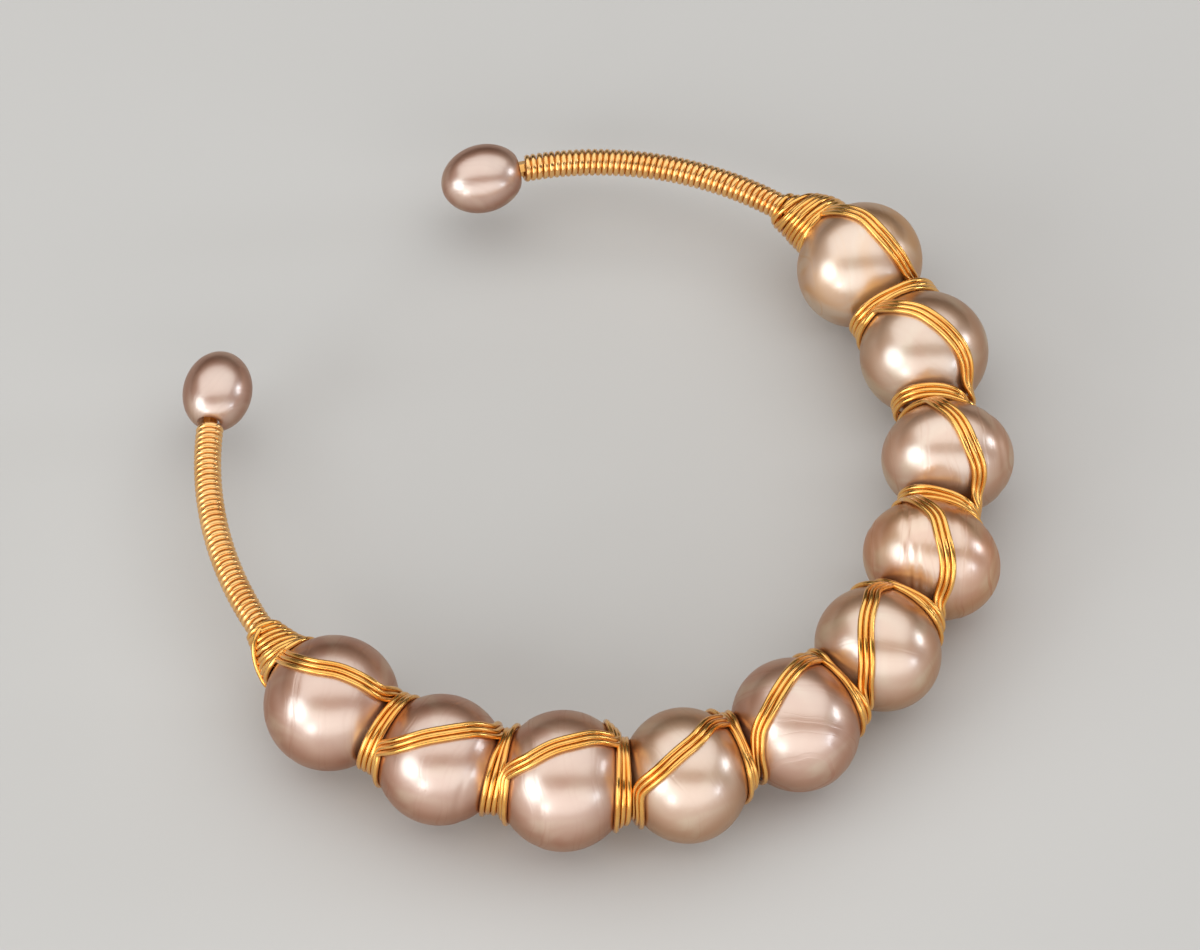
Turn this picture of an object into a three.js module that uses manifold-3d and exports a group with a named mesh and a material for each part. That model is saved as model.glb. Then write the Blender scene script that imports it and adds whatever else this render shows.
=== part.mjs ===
// Open pearl cuff: ten big round pearls and two small oval ones on a stiff curved core wire, with a
// close coil of wire round each bare arm, a wound collar where an arm meets the pearls, and three
// thin wires that wind round every neck and cross the top of every pearl.
// Millimetres, +Z up, the ring lies flat, the pearls are at the front (-Y), the mouth opens to +Y.
import * as THREE from 'three';
import { mergeVertices } from 'three/addons/utils/BufferGeometryUtils.js';
import Module from 'manifold-3d';

const wasm = await Module();
wasm.setup();

// Driving dimensions
const degree = Math.PI / 180;
const ringRadius = 30.66;
const rightArm = { radius: 28.07, bendAt: 14.4 };
const leftArm = { radius: 31.9, bendAt: -195.6 };
const firstPearlAt = -5.5;

const coreWire = 1.29;
const coilWire = 0.51;
const wrapWire = 0.41;
const strandPitch = 0.44;
const strandLift = 0.15;
const neckRadius = 2.95;
const neckSlack = 0.45;
const neckAdvance = 0.5;
const bundleFade = 0.9;

const endGap = 0.15;
const boreRadius = 1.1;
const boreInset = 0.22;
const sleeveBore = 0.85;
const flatShare = 0.92;
const weldDistance = 1e-4;

// Each pearl: pitch along the core from the one before, width across the string, length along it,
// shift of its middle outwards from the core, shift along the core of the wire turns in the neck
// after it, and the angle of the wire band at five places along the pearl, in degrees up from the
// outside.
const pearls = [
  { pitch: 0.0, width: 11.0, length: 10.0, shift: 0.0, turns: 0.0, band: [84, 84, 83, 80, 64] },
  { pitch: 10.38, width: 10.9, length: 10.3, shift: -0.1, turns: 0.15, band: [142, 108, 90, 75, 47] },
  { pitch: 10.76, width: 11.1, length: 9.0, shift: -0.3, turns: 0.2, band: [115, 97, 85, 72, 40] },
  { pitch: 10.27, width: 11.5, length: 9.1, shift: -0.35, turns: 0.5, band: [130, 106, 88, 75, 58] },
  { pitch: 9.85, width: 10.8, length: 9.7, shift: -0.35, turns: 0.4, band: [130, 116, 105, 94, 69] },
  { pitch: 9.95, width: 11.3, length: 10.3, shift: 0.1, turns: 0.3, band: [122, 110, 103, 92, 72] },
  { pitch: 10.0, width: 11.2, length: 10.3, shift: 0.7, turns: 0.15, band: [115, 94, 81, 68, 48] },
  { pitch: 9.74, width: 11.5, length: 11.0, shift: 0.0, turns: -0.1, band: [103, 97, 89, 77, 52] },
  { pitch: 10.11, width: 10.7, length: 10.5, shift: 0.15, turns: -0.5, band: [111, 91, 76, 61, 30] },
  { pitch: 10.38, width: 11.3, length: 10.8, shift: 0.15, turns: 0.0, band: [113, 97, 86, 76, 66] },
];
const bandPlaces = [-0.75, -0.4, 0, 0.4, 0.75];
const bandEnd = 0.86;

const coils = [
  { name: 'coil_right', from: -6.0, turns: 44, pitch: -0.515 },
  { name: 'coil_left', from: 103.75, turns: 40, pitch: 0.51 },
];
const collars = [
  { name: 'collar_right', from: -5.85, towards: 1 },
  { name: 'collar_left', from: 103.6, towards: -1 },
];
const collarTurns = 7;
const collarRadii = { coil: 1.4, pearl: 2.7, groove: 0.2 };
const collarBulge = 0.8;
const endPearls = [
  { name: 'end_pearl_right', at: -32.27, towards: 1, width: 5.8, length: 7.2 },
  { name: 'end_pearl_left', at: 127.72, towards: -1, width: 5.8, length: 7.2 },
];
const endPearlHole = 4.2;

const pearlSides = 16;
const pearlRings = 8;
const endPearlSides = 12;
const endPearlRings = 6;
const boreSides = 12;
const sleeveSides = 8;
const collarSides = 10;
const wireSides = 5;
const coreSides = 6;
const coreStep = 2.2;
const wrapStep = 2.076;

const coreHeight = Math.max(...pearls.map((pearl) => pearl.width)) / 2;
const up = new THREE.Vector3(0, 0, 1);

// The core line: s is the length along it, 0 where the ring crosses the +X axis, growing past the
// pearls clockwise seen from above. Each arm is an arc of its own radius, tangent to the ring.
function arcAt(s) {
  const rightFrom = -rightArm.bendAt * degree * ringRadius;
  const leftFrom = -leftArm.bendAt * degree * ringRadius;
  if (s < rightFrom) return { radius: rightArm.radius, from: rightFrom, angle: rightArm.bendAt * degree };
  if (s > leftFrom) return { radius: leftArm.radius, from: leftFrom, angle: leftArm.bendAt * degree };
  return { radius: ringRadius, from: 0, angle: 0 };
}

function frameAt(s) {
  const arc = arcAt(s);
  const angle = arc.angle - (s - arc.from) / arc.radius;
  const out = new THREE.Vector3(Math.cos(angle), Math.sin(angle), 0);
  const along = new THREE.Vector3(Math.sin(angle), -Math.cos(angle), 0);
  const bend = new THREE.Vector3(Math.cos(arc.angle), Math.sin(arc.angle), 0);
  const origin = bend.multiplyScalar(ringRadius - arc.radius).addScaledVector(out, arc.radius);
  origin.z = coreHeight;
  return { origin, out, along, radius: arc.radius };
}

// A point at length s, turned by theta from the outside up, at the distance rho from the core line.
function pointAt(s, theta, rho) {
  const frame = frameAt(s);
  return frame.origin
    .addScaledVector(frame.out, rho * Math.cos(theta))
    .addScaledVector(up, rho * Math.sin(theta));
}

// Lays a solid of revolution, made along Y from 0, along the core line from the length s.
function bendAlong(geometry, s, direction) {
  const position = geometry.attributes.position;
  for (let i = 0; i < position.count; i += 1) {
    const frame = frameAt(s + direction * position.getY(i));
    const point = frame.origin
      .addScaledVector(frame.out, direction * position.getX(i))
      .addScaledVector(up, -position.getZ(i));
    position.setXYZ(i, point.x, point.y, point.z);
  }
  return geometry;
}

function solidOf(geometry) {
  const bare = geometry.index ? geometry.toNonIndexed() : geometry;
  bare.deleteAttribute('normal');
  bare.deleteAttribute('uv');
  const welded = mergeVertices(bare, weldDistance);
  const corners = welded.index.array;
  const kept = [];
  for (let i = 0; i < corners.length; i += 3) {
    const [a, b, c] = [corners[i], corners[i + 1], corners[i + 2]];
    if (a !== b && b !== c && c !== a) kept.push(a, b, c);
  }
  const mesh = new wasm.Mesh({
    numProp: 3,
    vertProperties: welded.attributes.position.array,
    triVerts: new Uint32Array(kept),
  });
  return new wasm.Manifold(mesh);
}

function geometryOf(solid) {
  const mesh = solid.getMesh();
  const geometry = new THREE.BufferGeometry();
  geometry.setAttribute('position', new THREE.BufferAttribute(mesh.vertProperties, 3));
  geometry.setIndex(new THREE.BufferAttribute(mesh.triVerts, 1));
  geometry.computeVertexNormals();
  return geometry;
}

// A round pearl body standing along Y, centred on the origin.
function pearlBody(width, length, sides, rings) {
  const profile = [];
  for (let i = 0; i <= rings; i += 1) {
    const angle = (i / rings - 0.5) * Math.PI;
    const radius = i === 0 || i === rings ? 0 : width / 2 * Math.cos(angle);
    profile.push(new THREE.Vector2(radius, length / 2 * Math.sin(angle)));
  }
  return new THREE.LatheGeometry(profile, sides);
}

function drill(radius, length, shift) {
  const geometry = new THREE.CylinderGeometry(radius, radius, length, boreSides);
  return geometry.translate(shift, 0, 0);
}

function standAt(geometry, frame) {
  const basis = new THREE.Matrix4().makeBasis(frame.out, frame.along, up.clone().negate());
  return geometry.applyMatrix4(basis.setPosition(frame.origin));
}

// Keeps what lies on one side of the plane across the core line at length s.
function trimAt(solid, s, side) {
  const frame = frameAt(s);
  const normal = frame.along.clone().multiplyScalar(side);
  return solid.trimByPlane(normal.toArray(), normal.dot(frame.origin) + endGap);
}

let reached = -firstPearlAt * degree * ringRadius;
pearls.forEach((pearl) => {
  reached += pearl.pitch;
  pearl.at = reached;
  pearl.frame = frameAt(reached);
  pearl.centre = pearl.frame.origin.clone().addScaledVector(pearl.frame.out, pearl.shift);
});

const necks = pearls.slice(1).map((next, i) => {
  const before = pearls[i];
  return before.at + next.pitch * before.length / (before.length + next.length);
});
const firstPearl = pearls[0];
const lastPearl = pearls[pearls.length - 1];
const firstFlat = firstPearl.at - flatShare * firstPearl.length / 2;
const lastFlat = lastPearl.at + flatShare * lastPearl.length / 2;

function makePearl(pearl, i) {
  const body = pearlBody(pearl.width, pearl.length, pearlSides, pearlRings).translate(pearl.shift, 0, 0);
  const bore = drill(boreRadius, 2 * pearl.length, -boreInset);
  const whole = solidOf(standAt(body, pearl.frame));
  const start = pearl === firstPearl ? firstFlat : necks[i - 1];
  const end = pearl === lastPearl ? lastFlat : necks[i];
  const trimmed = trimAt(trimAt(whole, start, 1), end, -1);
  return geometryOf(trimmed.subtract(solidOf(standAt(bore, pearl.frame))));
}

function makeEndPearl(end) {
  const frame = frameAt(end.at);
  const body = pearlBody(end.width, end.length, endPearlSides, endPearlRings);
  const bore = drill(boreRadius, 2 * endPearlHole, 0);
  bore.translate(0, end.towards * end.length / 2, 0);
  const flat = end.at + end.towards * flatShare * end.length / 2;
  const whole = trimAt(solidOf(standAt(body, frame)), flat, -end.towards);
  return geometryOf(whole.subtract(solidOf(standAt(bore, frame))));
}

// A section swept through stations of its own, each with the direction that its first side faces.
class WirePath extends THREE.Curve {
  constructor(stations, facings) {
    super();
    this.stations = stations;
    this.facings = facings;
  }

  getSpacedPoints() {
    return this.stations;
  }

  computeFrenetFrames() {
    const last = this.stations.length - 1;
    const tangents = this.stations.map((_, i) => {
      const ahead = this.stations[Math.min(i + 1, last)];
      const behind = this.stations[Math.max(i - 1, 0)];
      return ahead.clone().sub(behind).normalize();
    });
    const binormals = tangents.map((tangent, i) => tangent.clone().cross(this.facings[i]).normalize());
    const normals = binormals.map((binormal, i) => binormal.clone().cross(tangents[i]));
    return { tangents, normals, binormals };
  }
}

function sweepWire(diameter, sides, stations, facings) {
  const section = new THREE.Shape();
  for (let i = 0; i < sides; i += 1) {
    const angle = 2 * Math.PI * i / sides;
    const x = diameter / 2 * Math.cos(angle);
    const y = diameter / 2 * Math.sin(angle);
    if (i === 0) section.moveTo(x, y);
    else section.lineTo(x, y);
  }
  section.closePath();
  const extrudePath = new WirePath(stations, facings);
  const steps = stations.length - 1;
  return new THREE.ExtrudeGeometry(section, { steps, bevelEnabled: false, extrudePath });
}

function makeCore() {
  const depth = endPearlHole - 2 * endGap;
  const start = endPearls[0].at + endPearls[0].length / 2 - depth;
  const end = endPearls[1].at - endPearls[1].length / 2 + depth;
  const steps = Math.round((end - start) / coreStep);
  const places = Array.from({ length: steps + 1 }, (_, i) => start + (end - start) * i / steps);
  const stations = places.map((s) => pointAt(s, 0, 0));
  return sweepWire(coreWire, coreSides, stations, places.map(() => up));
}

// A close coil as a sleeve with a rounded ridge for each turn, bored for the core wire.
function makeCoil(coil) {
  const length = coil.turns * Math.abs(coil.pitch);
  const crest = coreWire / 2 + coilWire;
  const groove = crest - coilWire / 3;
  const profile = [];
  for (let turn = 0; turn < coil.turns; turn += 1) {
    profile.push(new THREE.Vector2(groove, length * turn / coil.turns));
    profile.push(new THREE.Vector2(crest, length * (turn + 0.5) / coil.turns));
  }
  profile.push(new THREE.Vector2(groove, length));
  const boreRings = Math.round(length / coreStep);
  for (let i = boreRings; i >= 0; i -= 1) {
    profile.push(new THREE.Vector2(sleeveBore, length * i / boreRings));
  }
  profile.push(profile[0].clone());
  return bendAlong(new THREE.LatheGeometry(profile, sleeveSides), coil.from, Math.sign(coil.pitch));
}

// A wound collar as a ridged cone, narrow at the coil and wide at the pearl's shoulder.
function makeCollar(collar) {
  const flat = collar.towards > 0 ? firstFlat : lastFlat;
  const length = Math.abs(flat - collar.from) - 2 * endGap;
  const profile = [];
  for (let half = 0; half <= 2 * collarTurns; half += 1) {
    const part = half / (2 * collarTurns);
    const crest = THREE.MathUtils.lerp(collarRadii.coil, collarRadii.pearl, part ** collarBulge);
    const radius = half % 2 === 0 ? crest - collarRadii.groove : crest;
    profile.push(new THREE.Vector2(radius, length * part));
  }
  profile.push(new THREE.Vector2(sleeveBore, length), new THREE.Vector2(sleeveBore, length / 2));
  profile.push(new THREE.Vector2(sleeveBore, 0), profile[0].clone());
  return bendAlong(new THREE.LatheGeometry(profile, collarSides), collar.from, collar.towards);
}

// How far the core line at length s is from a pearl's surface, grown by some clearance, along the
// direction theta. Zero where that direction misses the pearl.
function reachOf(pearl, s, theta, clearance) {
  const frame = frameAt(s);
  const away = frame.origin.clone().sub(pearl.centre);
  const ray = frame.out.clone().multiplyScalar(Math.cos(theta)).addScaledVector(up, Math.sin(theta));
  const grown = (vector) => new THREE.Vector3(
    vector.dot(pearl.frame.along) / (pearl.length / 2 + clearance),
    vector.dot(pearl.frame.out) / (pearl.width / 2 + clearance),
    vector.z / (pearl.width / 2 + clearance),
  );
  const start = grown(away);
  const step = grown(ray);
  const half = start.dot(step) / step.lengthSq();
  const rest = (start.lengthSq() - 1) / step.lengthSq();
  const root = half * half - rest;
  return root > 0 ? Math.max(0, Math.sqrt(root) - half) : 0;
}

function surfaceReach(s, theta) {
  const clearance = wrapWire / 2 + strandLift;
  return Math.max(...pearls.map((pearl) => reachOf(pearl, s, theta, clearance)));
}

// The middle wire's distance from the core line: on a pearl, or in a neck, where the turns sink
// deeper on the outside of the ring, as the pearls stand further apart there.
function wrapReach(s, theta) {
  return Math.max(neckRadius - neckSlack * Math.cos(theta), surfaceReach(s, theta));
}

// A curve through the values that never runs past them, as a function of the places.
function throughValues(places, values) {
  const slopes = places.slice(1).map((place, i) => (values[i + 1] - values[i]) / (place - places[i]));
  const ends = [slopes[0], ...slopes, slopes[slopes.length - 1]];
  const bends = places.map((_, i) => {
    const [before, after] = [ends[i], ends[i + 1]];
    return before * after <= 0 ? 0 : 2 * before * after / (before + after);
  });
  return (place) => {
    let i = 0;
    while (i < places.length - 2 && place > places[i + 1]) i += 1;
    const width = places[i + 1] - places[i];
    const t = (place - places[i]) / width;
    return (1 + 2 * t) * (1 - t) ** 2 * values[i] + t * (1 - t) ** 2 * width * bends[i]
      + t * t * (3 - 2 * t) * values[i + 1] + t * t * (t - 1) * width * bends[i + 1];
  };
}

// The route of the middle wire: over pearl after pearl, with one and a half turns round each neck,
// always turning the same way. The wire passes under the neck on the near side of it, crosses over
// the top to the far side, and passes under again.
function wrapKnots() {
  const knots = [];
  pearls.forEach((pearl, i) => {
    const turned = -720 * i;
    const half = pearl.length / 2;
    if (pearl === firstPearl) knots.push([pearl.at - bandEnd * half, pearl.band[0]]);
    bandPlaces.forEach((place, k) => knots.push([pearl.at + place * half, pearl.band[k] + turned]));
    if (pearl === lastPearl) {
      knots.push([pearl.at + bandEnd * half, pearl.band[bandPlaces.length - 1] + turned]);
      return;
    }
    [-1, -1, 1, 1].forEach((side, turn) => {
      knots.push([necks[i] + pearl.turns + neckAdvance * side, turned - 180 * turn]);
    });
  });
  return knots.map(([s, angle]) => ({ s, theta: angle * degree }));
}

function wrapRoute() {
  const knots = wrapKnots();
  const lengths = [0];
  knots.slice(1).forEach((knot, i) => {
    const before = knots[i];
    const reach = (wrapReach(knot.s, knot.theta) + wrapReach(before.s, before.theta)) / 2;
    const across = reach * (knot.theta - before.theta);
    lengths.push(lengths[i] + Math.hypot(knot.s - before.s, across));
  });
  const sAt = throughValues(lengths, knots.map((knot) => knot.s));
  const thetaAt = throughValues(lengths, knots.map((knot) => knot.theta));
  const total = lengths[lengths.length - 1];
  const steps = Math.round(total / wrapStep);
  return Array.from({ length: steps + 1 }, (_, i) => {
    const place = total * i / steps;
    return { s: sAt(place), theta: thetaAt(place) };
  });
}

// The wires lie side by side on a pearl, and in a neck the middle one sinks between the other two.
function neckShare(s) {
  const nearest = Math.min(...necks.map((neck, i) => Math.abs(s - neck - pearls[i].turns)));
  return 1 - THREE.MathUtils.smoothstep(nearest, neckAdvance, neckAdvance + bundleFade);
}

function makeStrand(side) {
  const route = wrapRoute();
  const last = route.length - 1;
  const stations = route.map((place, i) => {
    const ahead = route[Math.min(i + 1, last)];
    const behind = route[Math.max(i - 1, 0)];
    const middle = wrapReach(place.s, place.theta);
    const stretch = 1 + middle * Math.cos(place.theta) / frameAt(place.s).radius;
    const run = new THREE.Vector2((ahead.s - behind.s) * stretch, (ahead.theta - behind.theta) * middle);
    run.normalize();
    const apart = strandPitch * (1 - neckShare(place.s) / 2);
    const lift = side === 0 ? 0 : Math.sqrt(strandPitch ** 2 - apart ** 2);
    const s = place.s - side * apart * run.y / stretch;
    const theta = place.theta + side * apart * run.x / middle;
    return pointAt(s, theta, Math.max(surfaceReach(s, theta), middle + lift));
  });
  const facings = route.map((place) => pointAt(place.s, place.theta, 1).sub(pointAt(place.s, 0, 0)));
  return sweepWire(wrapWire, wireSides, stations, facings);
}

const pearlLooks = { pale: 0xe3cfc4, peach: 0xd9b8a6, rose: 0xc79a86 };
const peachPearls = [4, 8, 9, 10];
const goldLook = { color: 0xd9a441, roughness: 0.25, metalness: 1 };
const bracelet = new THREE.Group();
bracelet.name = 'pearl_cuff';

function addPiece(name, geometry, look) {
  const mesh = new THREE.Mesh(geometry, new THREE.MeshStandardMaterial(look));
  mesh.name = name;
  bracelet.add(mesh);
}

pearls.forEach((pearl, i) => {
  const name = `pearl_${String(i + 1).padStart(2, '0')}`;
  const color = peachPearls.includes(i + 1) ? pearlLooks.peach : pearlLooks.pale;
  addPiece(name, makePearl(pearl, i), { color, roughness: 0.2, metalness: 0 });
});
endPearls.forEach((end) => {
  addPiece(end.name, makeEndPearl(end), { color: pearlLooks.rose, roughness: 0.2, metalness: 0 });
});
addPiece('core_wire', makeCore(), goldLook);
coils.forEach((coil) => addPiece(coil.name, makeCoil(coil), goldLook));
collars.forEach((collar) => addPiece(collar.name, makeCollar(collar), goldLook));
[-1, 0, 1].forEach((side) => addPiece(`wrap_wire_${side + 2}`, makeStrand(side), goldLook));

// The origin is under the middle of the bracelet, on the surface that it lies on.
const box = new THREE.Box3().setFromObject(bracelet);
const middle = box.getCenter(new THREE.Vector3());
bracelet.children.forEach((piece) => piece.geometry.translate(-middle.x, -middle.y, -box.min.z));

export default bracelet;
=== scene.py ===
# %% [markdown]
# # An open cuff of pearls, wound with gold-coloured wire
#
# Ten big freshwater pearls sit on a stiff curved wire. A close coil covers each bare arm, a small oval
# pearl closes each end, and three thin wires run side by side over every pearl and round every neck
# between two pearls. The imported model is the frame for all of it: it comes in with plain facets, and
# each cell below puts the real surface of one kind of piece in the same place.

# %% Load the frame
import math

import bpy
import numpy as np
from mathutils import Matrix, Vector


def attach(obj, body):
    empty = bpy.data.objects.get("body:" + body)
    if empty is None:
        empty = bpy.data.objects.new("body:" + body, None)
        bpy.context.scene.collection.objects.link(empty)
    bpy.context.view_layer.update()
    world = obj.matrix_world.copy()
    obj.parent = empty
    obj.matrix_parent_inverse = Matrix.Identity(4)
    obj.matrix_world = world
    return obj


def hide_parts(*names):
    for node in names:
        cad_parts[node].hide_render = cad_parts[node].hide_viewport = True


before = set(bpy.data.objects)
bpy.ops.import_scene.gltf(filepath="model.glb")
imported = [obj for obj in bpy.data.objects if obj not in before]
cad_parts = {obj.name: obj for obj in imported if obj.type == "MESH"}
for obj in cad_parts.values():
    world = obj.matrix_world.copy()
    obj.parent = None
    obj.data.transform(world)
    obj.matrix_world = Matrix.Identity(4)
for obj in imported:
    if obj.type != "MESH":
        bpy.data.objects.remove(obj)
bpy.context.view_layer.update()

scene = bpy.context.scene
MM = 0.001
print("frame:", len(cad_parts), "nodes")

# %% [markdown]
# ## The camera
#
# A jewel is photographed with a long lens, which keeps the near and the far pearls the same size. The
# camera could be placed by typing its three coordinates, but a turn, a rise and a distance from one
# point that it looks at are easier to read, and to change one at a time.

# %% Camera
LOOK_AT = Vector((0.351, 0.970, 5.75)) * MM
CAMERA_TURN = 224.4
CAMERA_RISE = 57.0
CAMERA_AWAY = 600 * MM
CAMERA_LENS = 218.18


def direction(turn, rise):
    """The unit vector that is turn degrees from +X, seen from above, and rise degrees up."""
    turn, rise = math.radians(turn), math.radians(rise)
    return Vector((math.cos(rise) * math.cos(turn), math.cos(rise) * math.sin(turn), math.sin(rise)))


def aim(thing, turn, rise, away):
    """Places a camera or a light away from the bracelet and points it there."""
    towards = direction(turn, rise)
    thing.location = LOOK_AT + towards * away
    thing.rotation_euler = towards.to_track_quat("Z", "Y").to_euler()


camera = bpy.data.objects.new("camera", bpy.data.cameras.new("camera"))
scene.collection.objects.link(camera)
camera.data.lens = CAMERA_LENS
camera.data.sensor_width = 36
camera.data.clip_start = 0.01
aim(camera, CAMERA_TURN, CAMERA_RISE, CAMERA_AWAY)
scene.camera = camera
print("camera at", [round(value, 3) for value in camera.location])

# %% [markdown]
# ## The light and the floor
#
# A pearl shows little colour of its own: most of what we see is soft light mirrored in its skin. One
# big lamp would leave a single white disc. Jewellers stand white panels round the piece instead, so
# here are two wide panels above and in front, with a gap between them, a round softbox and a small
# reflector low on the left, and two small cool lamps low on the right. The floor is plain pale paper.

# %% Lights
LIGHTS = [
    # name, turn, rise, width m, height m, watts, colour
    ("back_panel", 224.4, 105, 2.20, 1.24, 12.0, (1.0, 0.99, 0.97)),
    ("front_panel", 224.4, 23, 1.90, 0.62, 6.2, (1.0, 0.98, 0.96)),
    ("left_softbox", 162, 20, 0.50, 0.50, 2.4, (0.92, 0.98, 1.0)),
    ("left_reflector", 196, 9, 0.19, 0.19, 0.45, (0.96, 0.99, 1.0)),
    ("right_lamp", 322, 14, 0.20, 0.20, 0.9, (0.86, 0.92, 1.0)),
    ("right_reflector", 282, 9, 0.15, 0.15, 0.4, (0.84, 0.91, 1.0)),
]
LIGHT_AWAY = 0.80
ROOM_LIGHT = 0.06


def panel(name, turn, rise, width, height, watts, colour):
    """One area light: a round softbox where width and height are the same, else a flat panel."""
    data = bpy.data.lights.new(name, "AREA")
    data.shape = "ELLIPSE" if width == height else "RECTANGLE"
    data.size = width
    data.size_y = height
    data.energy = watts
    data.color = colour
    light = bpy.data.objects.new(name, data)
    scene.collection.objects.link(light)
    light.visible_camera = False
    aim(light, turn, rise, LIGHT_AWAY)


for light_row in LIGHTS:
    panel(*light_row)

scene.world = bpy.data.worlds.new("room")
scene.world.use_nodes = True
room = scene.world.node_tree.nodes["Background"]
room.inputs["Color"].default_value = (1.0, 0.98, 0.96, 1)
room.inputs["Strength"].default_value = ROOM_LIGHT
scene.view_settings.view_transform = "Standard"
print("lights:", len(LIGHTS))


# %% Material helpers
def new_material(name):
    """A material with its nodes, its links and the shader that every finish here starts from."""
    material = bpy.data.materials.new(name)
    material.use_nodes = True
    nodes = material.node_tree.nodes
    return material, nodes, material.node_tree.links, nodes["Principled BSDF"]


def add_node(nodes, kind, **settings):
    """A new node, with its settings given as names and values."""
    node = nodes.new(kind)
    for name, value in settings.items():
        setattr(node, name, value)
    return node


def add_bump(nodes, links, shader, height, strength, distance):
    """Bumps a shader's surface by the values of one socket."""
    bump = add_node(nodes, "ShaderNodeBump")
    bump.inputs["Strength"].default_value = strength
    bump.inputs["Distance"].default_value = distance
    links.new(height, bump.inputs["Height"])
    links.new(bump.outputs["Normal"], shader.inputs["Normal"])


print("materials so far:", len(bpy.data.materials))

# %% Floor
FLOOR_HALF = 3.0
PAPER_COLOUR = (0.52, 0.512, 0.50, 1)
PAPER_TOOTH = 900


def make_paper():
    """Plain pale paper with a fine tooth."""
    material, nodes, links, shader = new_material("pale_paper")
    place = add_node(nodes, "ShaderNodeTexCoord")
    tooth = add_node(nodes, "ShaderNodeTexNoise")
    tooth.inputs["Scale"].default_value = PAPER_TOOTH
    tooth.inputs["Detail"].default_value = 4
    links.new(place.outputs["Object"], tooth.inputs["Vector"])
    add_bump(nodes, links, shader, tooth.outputs["Fac"], 0.05, 0.0001)
    shader.inputs["Base Color"].default_value = PAPER_COLOUR
    shader.inputs["Roughness"].default_value = 0.7
    return material


corners = [(-1, -1), (1, -1), (1, 1), (-1, 1)]
floor_mesh = bpy.data.meshes.new("floor")
floor_mesh.from_pydata([(x * FLOOR_HALF, y * FLOOR_HALF, 0) for x, y in corners], [], [(0, 1, 2, 3)])
floor = bpy.data.objects.new("floor", floor_mesh)
scene.collection.objects.link(floor)
floor.data.materials.append(make_paper())
print("floor:", 2 * FLOOR_HALF, "m wide")

# %% [markdown]
# ## The core line
#
# Everything is threaded on one line: a ring with two arms of their own bend, where the wire has
# sprung a little. Placing twelve pearls and six wires by hand would never fit, so each point is given
# by how far along the line it is, how far it is turned round it, and how far it is from it. One
# function then turns these three numbers into a place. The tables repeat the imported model's sizes, with
# two exceptions: the three wires are slightly thicker, and the sixth pearl is slightly smaller, so that
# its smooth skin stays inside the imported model's box.

# %% Core line
RING_CENTRE = np.array([0.1955, 3.0444])
RING_RADIUS = 30.66
RIGHT_ARM = {"radius": 28.07, "bend_at": 14.4}
LEFT_ARM = {"radius": 31.9, "bend_at": -195.6}
FIRST_PEARL_AT = -5.5
CORE_WIRE = 1.29
COIL_WIRE = 0.51
WRAP_WIRE = 0.455

# Millimetres: pitch along the core from the pearl before, width across, length along, and shift of
# the middle outwards. The band is the wires' angle in degrees at the six BAND_PLACES, which are shares
# of the pearl's half length. BAND_END, where the wires start and stop, and FLAT_SHARE, where a pearl
# without a neighbour is flattened, are such shares too.
PEARLS = [
    {"pitch": 0.0, "width": 11.0, "length": 10.0, "shift": 0.0, "band": [87, 84, 81, 81, 78, 64]},
    {"pitch": 10.38, "width": 10.9, "length": 10.3, "shift": -0.1, "band": [134, 110, 95, 85, 72, 48]},
    {"pitch": 10.76, "width": 11.1, "length": 9.0, "shift": -0.3, "band": [114, 101, 90, 82, 73, 47]},
    {"pitch": 10.27, "width": 11.5, "length": 9.1, "shift": -0.35, "band": [138, 110, 93, 85, 73, 52]},
    {"pitch": 9.85, "width": 10.8, "length": 9.7, "shift": -0.35, "band": [118, 116, 108, 102, 92, 63]},
    {"pitch": 9.95, "width": 11.16, "length": 10.3, "shift": 0.03, "band": [125, 112, 105, 98, 90, 74]},
    {"pitch": 10.0, "width": 11.2, "length": 10.3, "shift": 0.7, "band": [113, 95, 81, 73, 63, 43]},
    {"pitch": 9.74, "width": 11.5, "length": 11.0, "shift": 0.0, "band": [112, 100, 92, 86, 76, 59]},
    {"pitch": 10.11, "width": 10.7, "length": 10.5, "shift": 0.15, "band": [123, 96, 83, 73, 60, 39]},
    {"pitch": 10.38, "width": 11.3, "length": 10.8, "shift": 0.15, "band": [111, 97, 90, 81, 75, 70]},
]
BAND_PLACES = [-0.8, -0.45, -0.15, 0.15, 0.45, 0.8]
BAND_END = 0.86
FLAT_SHARE = 0.92
END_PEARLS = [
    {"name": "right", "at": -32.27, "towards": 1, "width": 5.8, "length": 7.2},
    {"name": "left", "at": 127.72, "towards": -1, "width": 5.8, "length": 7.2},
]
CORE_HEIGHT = max(pearl["width"] for pearl in PEARLS) / 2
UP = np.array([0.0, 0.0, 1.0])


def core_frame(s):
    """Origin, outward direction and direction along of the core line at lengths s."""
    s = np.asarray(s, float)
    right_from = -math.radians(RIGHT_ARM["bend_at"]) * RING_RADIUS
    left_from = -math.radians(LEFT_ARM["bend_at"]) * RING_RADIUS
    arms = [s < right_from, s > left_from]
    radius = np.select(arms, [RIGHT_ARM["radius"], LEFT_ARM["radius"]], RING_RADIUS)
    start = np.select(arms, [right_from, left_from], 0.0)
    bend = np.select(arms, [math.radians(RIGHT_ARM["bend_at"]), math.radians(LEFT_ARM["bend_at"])], 0.0)
    angle = bend - (s - start) / radius
    flat = np.zeros_like(angle)
    out = np.stack([np.cos(angle), np.sin(angle), flat], -1)
    along = np.stack([np.sin(angle), -np.cos(angle), flat], -1)
    offset = RING_RADIUS - radius
    origin = np.stack([
        RING_CENTRE[0] + offset * np.cos(bend) + radius * out[..., 0],
        RING_CENTRE[1] + offset * np.sin(bend) + radius * out[..., 1],
        flat + CORE_HEIGHT,
    ], -1)
    return origin, out, along


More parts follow.
